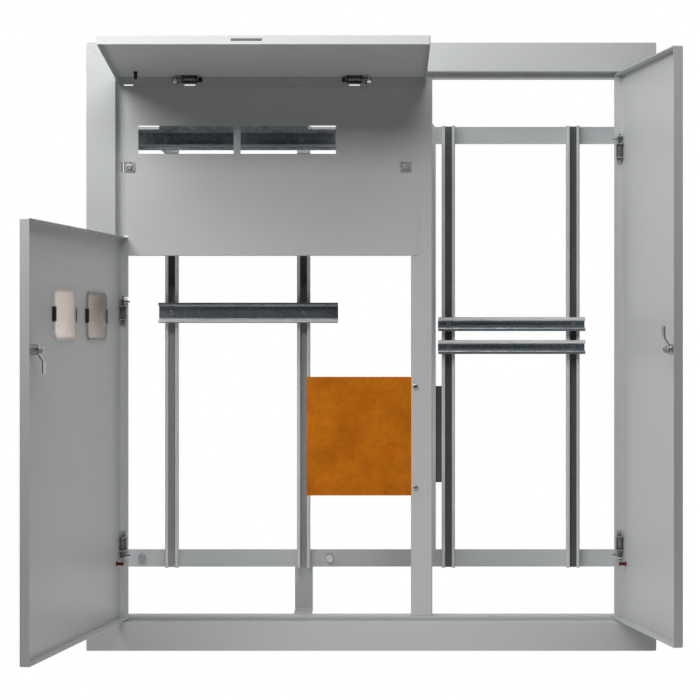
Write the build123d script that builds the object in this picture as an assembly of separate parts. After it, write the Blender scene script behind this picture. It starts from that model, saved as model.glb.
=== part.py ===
from build123d import *
import os
from math import cos, radians, sin

# A flush cabinet front for meters and circuit breakers: a flanged frame with a centre post, a bolted
# rack behind it, a breaker cover, and three tray doors that stand open.
# Millimetres. X runs to the right, Y back into the wall and Z up. The origin is on the back of the
# lower flange, at its centre, so Y = 0 is the plane of the wall.

# Frame
frame_width = 937.0
frame_height = 1000.0
frame_sheet = 1.5
flange_width = 48.0
flange_corner = 3.0
rebate_depth = 18.5
stop_lip = 7.5
return_depth = 25.0
sheet_bend = 1.9

# Centre post
post_width = 35.0
post_x = 83.5
post_sheet = 1.5
post_depth = 25.0

# Doors
door_sheet = 1.2
door_depth = 14.5
door_bend = 2.0
door_gap = 2.5
hinge_gap = 3.0
meeting_gap = 3.0
meeting_x = 91.5
flap_height = 266.0
flap_open = 95.8
left_door_open = 98.9
right_door_open = 98.9

# Hinges: the pin stands this far in from the door's edge and behind its face
pin_inset = 8.0
pin_behind = 7.0
pin_radius = 2.5
pin_play = 0.05
pin_reach = 15.5
pin_tail_drop = 3.0
tail_radius = 1.0
tail_length = 13.0
flap_tail_length = 9.0
tail_height = 8.0
tail_slant = 8.0
lip_notch_play = 0.3
collar_radius = 4.2
collar_height = 2.0
bracket_length = 24.0
bracket_width = 10.0
bracket_sheet = 1.6
ear_past_pin = 4.5
bracket_foot = 9.0
bracket_foot_width = 7.0
lug_height = 11.0
lug_sheet = 2.0
lug_rim = 4.5
lug_back = 31.0
lug_foot = 14.0
lug_foot_depth = 16.0
lug_notch_play = 1.2
spring_wire = 0.9
spring_radius = 3.7
spring_turns = 6
spring_play = 0.15
flap_hinge_spread = 272.0
left_hinge_drop = 125.0
left_hinge_rise = 124.5
right_hinge_drop = 126.5
right_hinge_rise = 125.5

# Locks
lock_to_post = 20.0
lock_height = 496.0
lock_head_radius = 11.0
lock_head_height = 2.0
barrel_radius = 8.0
barrel_length = 13.6
core_radius = 5.45
core_play = 0.05
key_slot_width = 1.6
key_slot_depth = 4.0
stud_radius = 3.0
stud_reach = 21.9
part_play = 0.15
lever_sheet = 2.0
lever_width = 12.0
lever_reach = 36.0
lever_crank_start = 7.0
lever_crank_end = 17.0
lever_behind_post = 0.5
lever_slot_play = 1.5
cam_nut_flats = 10.0
cam_nut_height = 5.0

# Studs on the doors
earth_stud_radius = 3.0
earth_stud_length = 12.0
earth_stud_inset = 24.0
earth_stud_rise = 93.5
flap_stud_inset = 33.0
flap_stud_side = 32.0

# Meter windows in the lower left door
window_width = 103.0
window_height = 76.0
window_chamfer = 8.0
window_insets = (140.5, 305.3)
window_drop = 132.0
window_lap = 3.0
pane_sheet = 3.2
pane_rim = 2.5
pane_pocket = 1.4
pane_clip_length = 22.0
pane_clip_width = 7.0
pane_clip_bend = 0.6
pane_clip_sheet = 0.8

# Slots in the lips where the flap meets the lower door
lip_slot_x = -190.0
lip_slot_length = 48.0
lip_slot_width = 4.0
lip_slot_depth = 7.0

# Breaker cover
cover_sheet = 1.2
cover_side_lap = 3.0
cover_post_lap = 11.2
cover_door_lap = 29.9
cover_top_gap = 8.3
cover_flange = 12.0
cover_bend = 1.0
cover_edge_clear = 2.5
module_window_width = 157.5
module_window_height = 46.6
module_window_rise = 168.2
module_window_inset = 31.0
module_divider = 11.4
notch_inset = 7.0
notch_width = 15.5
notch_depth = 4.8
clip_notch_height = 17.5
clip_notch_width = 9.5
clip_rise = 146.4
clip_width = 17.0
clip_sheet = 1.5
clip_back = 12.0
clip_bend_clear = 0.8
clip_post_clear = 0.5
door_relief_width = 14.0
door_relief_past = 3.0
hinge_notch_width = 18.0
hinge_notch_depth = 4.6

# Rack
rack_face = 195.0
bar_height = 30.0
bar_sheet = 2.0
crossbar_past_side = 25.0
crossbar_inset = 132.2
crossbar_bend = 4.0
arm_foot_gap = 0.5
upright_left_outer_in = 67.0
upright_left_inner_in = 183.4
upright_right_inner_in = 32.7
upright_right_outer_in = 63.1
upright_width = 23.0
upright_depth = 15.0
upright_slot = 12.0
upright_sheet = 1.5
upright_past_bar = 15.5
sub_bar_past_outer = 67.0
sub_bar_past_inner = 59.4
sub_bar_sheet = 1.5
sub_bar_bolt_inset = 14.5
divider_offset = 13.7
divider_width = 30.0
divider_sheet = 3.0
divider_past_lower = 12.2
divider_past_upper = 23.2
link_post_lap = 17.0
link_width = 50.0
link_bottom = 264.0
link_top = 431.6
link_sheet = 2.0
foot_width = 31.0
foot_height = 40.0
foot_lap = 28.0
foot_end_gap = 0.5

# Mounting rails
rail_sheet = 1.5
rail_depth = 15.0
rail_height = 35.0
rail_hat = 27.0
rail_bend = 0.8
breaker_rail_past_outer = 60.5
breaker_rail_past_inner = 60.9
breaker_rail_face = 66.0
breaker_rail_rise = 4.9
meter_rail_past_outer = 21.5
meter_rail_past_inner = 59.9
meter_rail_height = 558.5
terminal_rail_past_inner = 18.2
terminal_rail_past_outer = 19.6
terminal_rail_heights = (539.0, 499.4)
terminal_rail_width = 24.0
terminal_rail_hat = 15.0
rail_bracket_height = 42.0
rail_bracket_rise = 8.0
rail_bracket_foot = 21.0

# Meter board
board_upright_inset = 10.0
board_post_lap = 18.0
board_bottom = 253.9
board_top = 450.2
board_sheet = 3.5
board_screw_lap = 7.0
board_screw_rise = 13.1
board_screw_drop = 16.2
board_slot_play = 2.0

# Fasteners
screw_radius = 2.0
screw_head_radius = 4.4
screw_head_height = 2.6
screw_hole_play = 0.3
recess_width = 1.2
recess_length = 4.6
recess_depth = 1.2
small_nut_flats = 7.0
small_nut_height = 3.2
screw_past_nut = 1.5
thread_play = 0.05
bolt_radius = 4.0
bolt_head_flats = 13.0
bolt_head_height = 5.3
bolt_crown_radius = 7.55
bolt_head_chamfer = 1.2
bolt_past_nut = 3.0
channel_nut_width = 10.5
channel_nut_length = 18.0
channel_nut_height = 4.0
channel_nut_wing = 10.0
channel_nut_play = 1.0

# Values worked out from the sizes above
front = -frame_sheet
frame_bottom = -flange_width / 2
frame_top = frame_bottom + frame_height
frame_side = frame_width / 2
opening_side = frame_side - flange_width
opening_bottom = frame_bottom + flange_width
opening_top = frame_top - flange_width
inner_side = opening_side - stop_lip
inner_bottom = opening_bottom + stop_lip
inner_top = opening_top - stop_lip
stop_face = front + rebate_depth
post_left = post_x - post_width / 2
post_right = post_x + post_width / 2
rack_y = front + rack_face
door_back = front + door_depth
pin_y = front + pin_behind
left_edge = -opening_side + hinge_gap
right_edge = opening_side - hinge_gap
left_meeting = meeting_x - meeting_gap / 2
right_meeting = meeting_x + meeting_gap / 2
flap_top = opening_top - hinge_gap
flap_bottom = flap_top - flap_height
left_door_top = flap_bottom - door_gap
door_bottom = opening_bottom + door_gap
right_door_top = opening_top - door_gap
left_hinges = (left_door_top - left_hinge_drop, door_bottom + left_hinge_rise)
right_hinges = (right_door_top - right_hinge_drop, door_bottom + right_hinge_rise)
lock_z = frame_bottom + lock_height
earth_stud_z = door_bottom + earth_stud_rise
window_z = left_door_top - window_drop
cover_left = -inner_side - cover_side_lap
cover_right = post_left + cover_post_lap
cover_bottom = left_door_top - cover_door_lap
cover_top = inner_top - cover_top_gap
module_window_bottom = cover_bottom + module_window_rise
clip_z = cover_bottom + clip_rise
breaker_rail_z = module_window_bottom + module_window_height / 2 + breaker_rail_rise
rail_bracket_z = breaker_rail_z + rail_bracket_rise
crossbar_lower_z = frame_bottom + crossbar_inset
crossbar_upper_z = frame_top - crossbar_inset
crossbar_half_width = inner_side + crossbar_past_side
upright_centres = (
    upright_left_outer_in - inner_side,
    post_left - upright_left_inner_in,
    post_right + upright_right_inner_in,
    inner_side - upright_right_outer_in,
)
sub_bar_left = upright_centres[0] - sub_bar_past_outer
sub_bar_right = upright_centres[1] + sub_bar_past_inner
divider_x = post_x + divider_offset
board_left = upright_centres[1] + board_upright_inset
board_bottom_z = frame_bottom + board_bottom
board_top_z = frame_bottom + board_top
board_screw_x = post_left + board_screw_lap
board_screw_places = (board_bottom_z + board_screw_rise, board_top_z - board_screw_drop)
meter_rail_z = frame_bottom + meter_rail_height
terminal_rail_places = tuple(frame_bottom + height for height in terminal_rail_heights)


def behind(depth):
    """Y of a depth measured from the front of the flange."""
    return front + depth


def block(x0, x1, y0, y1, z0, z1):
    """A box from its low and high corners."""
    return Pos((x0 + x1) / 2, (y0 + y1) / 2, (z0 + z1) / 2) * Box(x1 - x0, y1 - y0, z1 - z0)


def rod(start, direction, radius, length):
    """A cylinder that starts at a point and runs along a direction."""
    plane = Plane(origin=start, z_dir=direction)
    return plane * Cylinder(radius, length, align=(Align.CENTER, Align.CENTER, Align.MIN))


def hex_prism(start, direction, flats, length):
    """A hexagonal prism of a given width across its flats."""
    sketch = RegularPolygon(flats / 2, 6, major_radius=False)
    return extrude(Plane(origin=start, z_dir=direction) * sketch, length)


def folded(points, sheet, bend):
    """The section of a folded sheet, whose middle line goes through the points."""
    return trace(FilletPolyline(*points, radius=bend), line_width=sheet)


def screw(start, direction, grip, radius=screw_radius):
    """A pan-head screw under whose head the start point lies; its shank runs along the direction."""
    plane = Plane(origin=start, z_dir=direction)
    head = Pos(0, 0, -screw_head_height) * Cylinder(
        screw_head_radius, screw_head_height, align=(Align.CENTER, Align.CENTER, Align.MIN)
    )
    head = fillet(head.edges().sort_by(Axis.Z)[0], screw_head_height * 0.45)
    shank = Cylinder(radius, grip, align=(Align.CENTER, Align.CENTER, Align.MIN))
    body = head + shank
    for width, length in ((recess_width, recess_length), (recess_length, recess_width)):
        recess = Pos(0, 0, -screw_head_height) * Box(
            width, length, recess_depth, align=(Align.CENTER, Align.CENTER, Align.MIN)
        )
        body -= recess
    return plane * body


def screw_hole(x, y, z, sheet):
    """The cut for a screw's clearance hole through a sheet that starts at y."""
    return rod((x, y - 1, z), (0, 1, 0), screw_radius + screw_hole_play, sheet + 2)


def bolt_hole(x, y, z, sheet):
    """The cut for a bolt's clearance hole through a sheet that starts at y."""
    return rod((x, y - 1, z), (0, 1, 0), bolt_radius + screw_hole_play, sheet + 2)


def nut(start, direction, flats, height, bore):
    """A hexagon nut that starts at a point."""
    bore_rod = rod(start, direction, bore, height)
    return hex_prism(start, direction, flats, height) - bore_rod


def hexagon_bolt(start, direction, grip):
    """A hexagon bolt under whose head the start point lies."""
    plane = Plane(origin=start, z_dir=direction)
    under_head = plane * Pos(0, 0, -bolt_head_height)
    head = hex_prism(under_head.position, direction, bolt_head_flats, bolt_head_height)
    crown = rod(under_head.position, direction, bolt_crown_radius, bolt_head_height)
    outer_edge = crown.edges().sort_by(Axis(start, direction))[0]
    head &= chamfer(outer_edge, bolt_head_chamfer)
    return head + rod(start, direction, bolt_radius, grip)


# Fixed frame


def frame_ring(inset_from, inset_to, depth_from, depth_to):
    """A rectangular ring of the frame's section, between two insets from its outer edge."""
    solid = []
    for inset, spare in ((inset_from, 0), (inset_to, 1)):
        solid.append(
            block(
                -frame_side + inset, frame_side - inset,
                behind(depth_from) - spare, behind(depth_to) + spare,
                frame_bottom + inset, frame_top - inset,
            )
        )
    return solid[0] - solid[1]


def frame_edges(solid, inset, depth):
    """The four long edges of the frame at an inset and a depth."""
    y = behind(depth)
    chosen = []
    for edge in solid.edges():
        centre = edge.center()
        on_side = abs(abs(centre.X) - (frame_side - inset)) < 0.01
        on_bottom = abs(centre.Z - (frame_bottom + inset)) < 0.01
        on_top = abs(centre.Z - (frame_top - inset)) < 0.01
        if abs(centre.Y - y) < 0.01 and edge.length > flange_width and (on_side or on_bottom or on_top):
            chosen.append(edge)
    return chosen


def make_outer_frame():
    wall = frame_sheet
    lip_inset = flange_width + stop_lip
    back = rebate_depth + return_depth
    frame = frame_ring(0, flange_width, 0, wall)
    frame += frame_ring(flange_width - wall, flange_width, 0, rebate_depth + wall)
    frame += frame_ring(flange_width - wall, lip_inset, rebate_depth, rebate_depth + wall)
    frame += frame_ring(lip_inset - wall, lip_inset, rebate_depth, back)
    frame = fillet(frame_edges(frame, flange_width, 0), sheet_bend)
    frame = fillet(frame_edges(frame, lip_inset, rebate_depth), sheet_bend)
    corners = []
    for edge in frame.edges().filter_by(Axis.Y):
        if abs(abs(edge.center().X) - frame_side) < 0.01:
            corners.append(edge)
    return fillet(corners, flange_corner)


def lever_slot(side):
    """The slot in the post's side wall that a cam lever swings through."""
    edge = post_left if side < 0 else post_right
    reach = lever_reach + lever_slot_play
    half = lever_width / 2 + lever_slot_play
    low, high = (-reach, half) if side < 0 else (-half, reach)
    lever_y = stop_face + post_sheet
    return block(
        edge - 2 * post_sheet, edge + 2 * post_sheet,
        lever_y, lever_y + lever_behind_post + lever_sheet + lever_slot_play,
        lock_z + low, lock_z + high,
    )


def make_centre_post():
    half = post_width / 2 - post_sheet / 2
    points = (
        (post_x - half, stop_face + post_depth),
        (post_x - half, stop_face + post_sheet / 2),
        (post_x + half, stop_face + post_sheet / 2),
        (post_x + half, stop_face + post_depth),
    )
    section = folded(points, post_sheet, post_sheet)
    post = extrude(Pos(0, 0, inner_bottom) * section, inner_top - inner_bottom)
    post -= block(
        post_left - 1, post_left + 2 * post_sheet,
        stop_face + post_sheet, stop_face + post_depth + 1,
        board_bottom_z - board_slot_play, board_top_z + board_slot_play,
    )
    post -= lever_slot(-1)
    post -= lever_slot(1)
    for z in board_screw_places:
        post -= screw_hole(board_screw_x, stop_face, z, post_sheet)
    return post


# Rack


def make_crossbar(z):
    """A strap across the back whose arms run forward and turn in, flat on the back of the stop lip."""
    half = crossbar_half_width - bar_sheet / 2
    middle = rack_y + bar_sheet / 2
    foot = stop_face + frame_sheet + bar_sheet / 2
    foot_end = inner_side + frame_sheet + arm_foot_gap
    left_arm = ((-foot_end, foot), (-half, foot), (-half, middle))
    right_arm = ((half, middle), (half, foot), (foot_end, foot))
    section = folded(left_arm + right_arm, bar_sheet, crossbar_bend)
    bar = extrude(Pos(0, 0, z - bar_height / 2) * section, bar_height)
    for x in bolt_places():
        bar -= bolt_hole(x, rack_y, z, bar_sheet)
    return bar


def bolt_places():
    """X of the rack bolts at a crossbar: two in the left sub-rack's bar and one in the divider."""
    return (sub_bar_left + sub_bar_bolt_inset, sub_bar_right - sub_bar_bolt_inset, divider_x)


def upright_front(index):
    """Y of an upright's lips; the left pair stands on the sub-rack's bars."""
    seat = rack_y - sub_bar_sheet if index < 2 else rack_y
    return seat - upright_depth


def make_upright(index):
    x = upright_centres[index]
    y = upright_front(index)
    half = upright_width / 2 - upright_sheet / 2
    near = y + upright_sheet / 2
    far = y + upright_depth - upright_sheet / 2
    points = (
        (x - upright_slot / 2, near), (x - half, near), (x - half, far),
        (x + half, far), (x + half, near), (x + upright_slot / 2, near),
    )
    section = folded(points, upright_sheet, 1.5)
    base = crossbar_lower_z - upright_past_bar
    return extrude(Pos(0, 0, base) * section, crossbar_upper_z + upright_past_bar - base)


def make_sub_bar(z):
    y = rack_y - sub_bar_sheet
    half = bar_height / 2
    bar = block(sub_bar_left, sub_bar_right, y, rack_y, z - half, z + half)
    for x in bolt_places()[:2]:
        bar -= bolt_hole(x, y, z, sub_bar_sheet)
    return fillet(bar.edges().filter_by(Axis.Y).filter_by(GeomType.LINE), 2.0)


def make_divider_strip():
    low = crossbar_lower_z - divider_past_lower
    high = crossbar_upper_z + divider_past_upper
    outline = Plane.XZ * Rot(0, 0, 90) * SlotOverall(high - low, divider_width)
    strip = extrude(outline, divider_sheet)
    strip = Pos(divider_x, rack_y, (low + high) / 2) * strip
    for z in (crossbar_lower_z, crossbar_upper_z):
        strip -= bolt_hole(divider_x, rack_y - divider_sheet, z, divider_sheet)
    return strip


def make_link_plate():
    left = post_right - link_post_lap
    low = frame_bottom + link_bottom
    high = frame_bottom + link_top
    return block(left, left + link_width, rack_y, rack_y + link_sheet, low, high)


def make_foot_strap():
    """A strap from the lower crossbar down, forward and up, flat on the back of the lower stop lip."""
    high = crossbar_lower_z - bar_height / 2 + foot_lap
    low = frame_bottom + foot_height + bar_sheet / 2
    front_y = stop_face + frame_sheet + bar_sheet / 2
    back_y = rack_y + 1.5 * bar_sheet
    end = inner_bottom - frame_sheet - foot_end_gap
    points = ((front_y, end), (front_y, low), (back_y, low), (back_y, high))
    section = folded(points, bar_sheet, crossbar_bend)
    strap = extrude(Plane.YZ * section, foot_width)
    return Pos(upright_centres[1] - foot_width / 2, 0, 0) * strap


def rack_bolt_set():
    """The bolts through the rack's bars and crossbars, and the nuts behind them."""
    bolts = []
    nuts = []
    back = rack_y + bar_sheet
    bore = bolt_radius + thread_play
    for z in (crossbar_lower_z, crossbar_upper_z):
        for x in bolt_places():
            sheet = divider_sheet if x == divider_x else sub_bar_sheet
            grip = sheet + bar_sheet + bolt_head_height + bolt_past_nut
            bolts.append(hexagon_bolt((x, rack_y - sheet, z), (0, 1, 0), grip))
            nuts.append(nut((x, back, z), (0, 1, 0), bolt_head_flats, bolt_head_height, bore))
    return bolts, nuts


# Rails


def rail_section(face, height, width, hat):
    """A top-hat rail's section in the YZ plane: lips in front, web behind."""
    near = face + rail_sheet / 2
    far = face + rail_depth - rail_sheet / 2
    half = width / 2
    wall = hat / 2 - rail_sheet / 2
    points = (
        (near, height - half), (near, height - wall), (far, height - wall),
        (far, height + wall), (near, height + wall), (near, height + half),
    )
    return folded(points, rail_sheet, rail_bend + rail_sheet / 2)


def make_rail(pair, past_left, past_right, face, z, width, hat):
    """A rail on a pair of uprights, past each of them by its own length."""
    left = pair[0] - past_left
    rail = extrude(Plane.YZ * rail_section(face, z, width, hat), pair[1] + past_right - left)
    rail = Pos(left, 0, 0) * rail
    for x in pair:
        rail -= screw_hole(x, face + rail_depth - rail_sheet, z, rail_sheet)
    return rail


def make_rail_bracket():
    """The bridge that carries the breaker rail forward from the left pair of uprights."""
    left = upright_centres[0] - upright_width / 2 + rail_sheet / 2
    right = upright_centres[1] + upright_width / 2 - rail_sheet / 2
    near = behind(breaker_rail_face) + rail_depth + rail_sheet / 2
    far = upright_front(0) - rail_sheet / 2
    points = (
        (left + rail_bracket_foot, far), (left, far), (left, near),
        (right, near), (right, far), (right - rail_bracket_foot, far),
    )
    section = folded(points, rail_sheet, 2.0)
    base = rail_bracket_z - rail_bracket_height / 2
    bracket = extrude(Pos(0, 0, base) * section, rail_bracket_height)
    for x in upright_centres[:2]:
        bracket -= screw_hole(x, near - rail_sheet / 2, breaker_rail_z, rail_sheet)
        bracket -= screw_hole(x, far - rail_sheet / 2, rail_bracket_z, rail_sheet)
    return bracket


def channel_nut(index, z):
    """A nut block that grips the lips of an upright from inside."""
    x = upright_centres[index]
    y = upright_front(index) + upright_sheet
    back = y + channel_nut_height
    half = channel_nut_width / 2
    wing = upright_width / 2 - upright_sheet - channel_nut_play
    body = block(x - half, x + half, y, back, z - channel_nut_length / 2, z + channel_nut_length / 2)
    body += block(x - wing, x + wing, y, back, z - channel_nut_wing / 2, z + channel_nut_wing / 2)
    return body - rod((x, y - 1, z), (0, 1, 0), screw_radius + thread_play, channel_nut_height + 2)


def rail_fasteners():
    """The screws of the rails and their bracket, and the channel nuts that take them."""
    places = []
    for index in (0, 1):
        places.append((index, meter_rail_z))
        places.append((index, rail_bracket_z))
    for index in (2, 3):
        for z in terminal_rail_places:
            places.append((index, z))
    screws = []
    nuts = []
    for index, z in places:
        seat = upright_front(index) - rail_sheet
        grip = rail_sheet + upright_sheet + channel_nut_height + screw_past_nut
        screws.append(screw((upright_centres[index], seat, z), (0, 1, 0), grip))
        nuts.append(channel_nut(index, z))
    web = behind(breaker_rail_face) + rail_depth - rail_sheet
    grip = 2 * rail_sheet + small_nut_height + screw_past_nut
    for x in upright_centres[:2]:
        screws.append(screw((x, web, breaker_rail_z), (0, 1, 0), grip))
    return screws, nuts


# Breaker cover


def clip_edge(side):
    """X of the inner edge of the notch beside a clip."""
    if side < 0:
        return cover_left + clip_notch_width
    return post_left - clip_post_clear - clip_sheet - clip_bend_clear


def clip_notch(side):
    """The notch in the cover's side edge beside a clip."""
    edge = cover_left if side < 0 else cover_right
    inner = clip_edge(side)
    y = stop_face - cover_sheet
    low = clip_z - clip_notch_height / 2
    return (min(edge, inner), max(edge, inner), y - 1, stop_face + 1, low, low + clip_notch_height)


def make_breaker_cover():
    face_y = stop_face - cover_sheet
    back = face_y + cover_flange
    cover = block(cover_left, cover_right, face_y, stop_face, cover_bottom, cover_top)
    flange_from = -inner_side + cover_edge_clear
    flange_to = post_left - cover_edge_clear
    for z in (cover_bottom, cover_top - cover_sheet):
        cover += block(flange_from, flange_to, face_y, back, z, z + cover_sheet)
    bends = []
    for edge in cover.edges().filter_by(Axis.X):
        centre = edge.center()
        on_end = abs(centre.Z - cover_bottom) < 0.01 or abs(centre.Z - cover_top) < 0.01
        if abs(centre.Y - face_y) < 0.01 and on_end:
            bends.append(edge)
    cover = fillet(bends, cover_bend)
    left = cover_left + module_window_inset
    for _ in range(2):
        cover -= block(
            left, left + module_window_width, face_y - 1, stop_face + 1,
            module_window_bottom, module_window_bottom + module_window_height,
        )
        left += module_window_width + module_divider
    cover -= top_notch(cover_left + notch_inset, notch_width, notch_depth)
    cover -= door_relief()
    for side in (-1, 1):
        cover -= top_notch(flap_hinge_x(side) - hinge_notch_width / 2, hinge_notch_width, hinge_notch_depth)
        cover -= block(*clip_notch(side))
        cover -= screw_hole(clip_screw_x(side), face_y, clip_z, cover_sheet)
    return cover


def door_relief():
    """The cut at the cover's lower left corner that clears the hinge lip of the swinging door."""
    return block(
        cover_left - 1, cover_left + door_relief_width,
        stop_face - 2 * cover_sheet, stop_face + cover_flange,
        cover_bottom - 1, left_door_top + door_relief_past,
    )


def top_notch(left, width, depth):
    """A notch in the cover's top edge, through its face and its flange."""
    return block(
        left, left + width, stop_face - 2 * cover_sheet, stop_face + cover_flange,
        cover_top - depth, cover_top + 1,
    )


def clip_span(side):
    """X of a clip's bent edge and of its free edge."""
    bent = clip_edge(side) + side * (clip_bend_clear + clip_sheet)
    free = bent - side * (clip_width + clip_sheet)
    return bent, free


def clip_screw_x(side):
    bent, free = clip_span(side)
    return (bent + free) / 2


def make_cover_clip(side):
    """A zinc angle on the cover's face whose bent edge goes back through the notch."""
    bent, free = clip_span(side)
    y = stop_face - cover_sheet - clip_sheet / 2
    middle = bent - side * clip_sheet / 2
    points = ((free, y), (middle, y), (middle, y + clip_back))
    section = folded(points, clip_sheet, 1.5)
    half = clip_notch_height / 2 - part_play
    clip = extrude(Pos(0, 0, clip_z - half) * section, 2 * half)
    return clip - screw_hole(clip_screw_x(side), y - clip_sheet / 2, clip_z, clip_sheet)


def make_cover_screw(side):
    """A sealing screw with a cross hole through its tall head."""
    seat = stop_face - cover_sheet - clip_sheet
    start = (clip_screw_x(side), seat, clip_z)
    head = rod((start[0], seat - 3.6, start[2]), (0, 1, 0), screw_head_radius, 3.6)
    head = fillet(head.edges().sort_by(Axis.Y)[0], 0.8)
    cross_hole = rod((start[0] - 6, seat - 2.0, start[2]), (1, 0, 0), 0.8, 12)
    grip = clip_sheet + cover_sheet + small_nut_height + screw_past_nut
    shank = rod(start, (0, 1, 0), screw_radius, grip)
    slot = block(start[0] - 0.5, start[0] + 0.5, seat - 4, seat - 2.9, start[2] - 5, start[2] + 5)
    return head - cross_hole - slot + shank


# Meter board


def make_meter_board():
    y = stop_face + post_sheet
    right = post_left + board_post_lap
    board = block(board_left, right, y, y + board_sheet, board_bottom_z, board_top_z)
    for z in board_screw_places:
        board -= screw_hole(board_screw_x, y, z, board_sheet)
    return board


def small_nut_set():
    """The nuts behind the board, the cover and the breaker rail's bracket."""
    bore = screw_radius + thread_play
    places = []
    for z in board_screw_places:
        places.append((board_screw_x, stop_face + post_sheet + board_sheet, z))
    for side in (-1, 1):
        places.append((clip_screw_x(side), stop_face, clip_z))
    for x in upright_centres[:2]:
        places.append((x, behind(breaker_rail_face) + rail_depth + rail_sheet, breaker_rail_z))
    nuts = []
    for place in places:
        nuts.append(nut(place, (0, 1, 0), small_nut_flats, small_nut_height, bore))
    return nuts


# Hinges, drawn about the pin: X points into the door from its edge, Y back and Z along the pin


def hinge_bracket():
    lip = -(pin_inset - door_sheet)
    half = bracket_length / 2
    middle = half - bracket_sheet / 2
    base = lip + bracket_sheet / 2
    points = ((ear_past_pin, middle), (base, middle), (base, -middle), (ear_past_pin, -middle))
    section = Plane.XZ * folded(points, bracket_sheet, 1.6)
    bracket = Pos(0, bracket_width / 2, 0) * extrude(section, bracket_width)
    foot_half = bracket_foot_width / 2
    bracket += block(lip, lip + bracket_sheet, -foot_half, foot_half, -half - bracket_foot, -half + 3)
    return bracket - rod((0, 0, -half - 1), (0, 0, 1), pin_radius + pin_play, bracket_length + 2)


def ear_inside():
    """Half the clear length between the bracket's ears."""
    return bracket_length / 2 - bracket_sheet


def hinge_pin(tail_reach=tail_length):
    half = bracket_length / 2
    tip = half + pin_reach
    pin = rod((0, 0, -half - pin_tail_drop), (0, 0, 1), pin_radius, tip + half + pin_tail_drop)
    pin = chamfer(pin.edges().sort_by(Axis.Z)[-1], 1.2)
    pin = chamfer(pin.edges().sort_by(Axis.Z)[0], 0.6)
    collar_start = ear_inside() - spring_play - collar_height
    pin += rod((0, 0, collar_start), (0, 0, 1), collar_radius, collar_height)
    slant = radians(tail_slant)
    direction = (0, cos(slant), -sin(slant))
    tail = rod((0, 0, half + tail_height), direction, tail_radius, tail_reach)
    return pin + tail


def hinge_spring():
    """A helix between the collar and the far ear."""
    low = -ear_inside() + spring_play + spring_wire / 2
    high = ear_inside() - 2 * spring_play - collar_height - spring_wire / 2
    path = Helix(pitch=(high - low) / spring_turns, height=high - low, radius=spring_radius)
    wire = Plane(origin=path @ 0, z_dir=path % 0) * Circle(spring_wire / 2)
    return Pos(0, 0, low) * sweep(wire, path=path, is_frenet=True)


def hinge_lug():
    """The frame's tab with the pin's hole, and its foot on the frame's return wall."""
    wall = -(pin_inset + hinge_gap - stop_lip)
    low = bracket_length / 2 + lug_height
    tab = block(wall, lug_rim, 0, lug_back, low, low + lug_sheet)
    rim = rod((0, 0, low), (0, 0, 1), lug_rim, lug_sheet)
    rim &= block(wall, lug_rim, -lug_rim, lug_rim, low, low + lug_sheet)
    foot = block(
        wall, wall + lug_sheet, lug_back - lug_foot_depth, lug_back,
        low - lug_foot, low + lug_sheet,
    )
    return tab + rim + foot - rod((0, 0, low - 1), (0, 0, 1), pin_radius + pin_play, lug_sheet + 2)


def lip_notch():
    """The cut in the door's hinge lip that lets the frame's lug through."""
    low = bracket_length / 2 + lug_height - lug_notch_play
    high = low + lug_sheet + 2 * lug_notch_play
    panel = -(pin_behind - door_sheet)
    return block(
        -pin_inset - 1, -pin_inset + door_sheet + lip_notch_play, panel + lip_notch_play, door_depth,
        low, high,
    )


def upright_hinge(side, z, pin_up):
    """Places a hinge piece on a side door: side is -1 at the left, pin_up says where its pin points."""

    def place(shape):
        if not pin_up:
            shape = mirror(shape, about=Plane.XY)
        if side > 0:
            shape = mirror(shape, about=Plane.YZ)
        edge = left_edge + pin_inset if side < 0 else right_edge - pin_inset
        return Pos(edge, pin_y, z) * shape

    return place


def flap_hinge_x(side):
    """X of the middle of a hinge on the flap."""
    return (left_edge + left_meeting + side * flap_hinge_spread) / 2


def flap_hinge(side):
    """Places a hinge piece on the flap's top edge, with its pin pointing to that side."""

    def place(shape):
        if side < 0:
            shape = mirror(shape, about=Plane.XY)
        shape = Rot(0, 90, 0) * shape
        return Pos(flap_hinge_x(side), pin_y, flap_top - pin_inset) * shape

    return place


# Doors, drawn shut


def tray(x0, x1, z0, z1):
    """A door panel with lips folded back on its four edges."""
    outer = block(x0, x1, front, door_back, z0, z1)
    outer = fillet(outer.edges().filter_by(Axis.Y) + outer.faces().sort_by(Axis.Y)[0].edges(), door_bend)
    wall = door_sheet
    inner = block(x0 + wall, x1 - wall, front + wall, door_back + wall, z0 + wall, z1 - wall)
    bend = door_bend - wall
    inner = fillet(inner.edges().filter_by(Axis.Y) + inner.faces().sort_by(Axis.Y)[0].edges(), bend)
    return outer - inner


def lip_slot(z):
    """The slot through a lip where the flap and the lower door meet."""
    half = lip_slot_length / 2
    middle = door_back - lip_slot_depth
    width = lip_slot_width / 2
    return block(
        lip_slot_x - half, lip_slot_x + half, middle - width, middle + width,
        z - 2 * door_sheet, z + 2 * door_sheet,
    )


def lock_place(side):
    """X of a door's lock."""
    return post_left - lock_to_post if side < 0 else post_right + lock_to_post


def lock_hole(side):
    return rod((lock_place(side), front - 1, lock_z), (0, 1, 0), barrel_radius + part_play, 5)


def window_outline(width, height, corner):
    """A rectangle with cut corners."""
    x = width / 2
    z = height / 2
    points = (
        (-x + corner, -z), (x - corner, -z), (x, -z + corner), (x, z - corner),
        (x - corner, z), (-x + corner, z), (-x, z - corner), (-x, -z + corner),
    )
    return make_face(Polyline(*points, close=True))


def window_plate(centre_x, inset, y0, y1):
    """A cut-cornered plate on a meter window, smaller all round by the inset."""
    corner = window_chamfer - inset * 0.6
    outline = window_outline(window_width - 2 * inset, window_height - 2 * inset, corner)
    plate = extrude(Plane.XZ * outline, -(y1 - y0))
    return Pos(centre_x, y0, window_z) * plate


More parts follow.
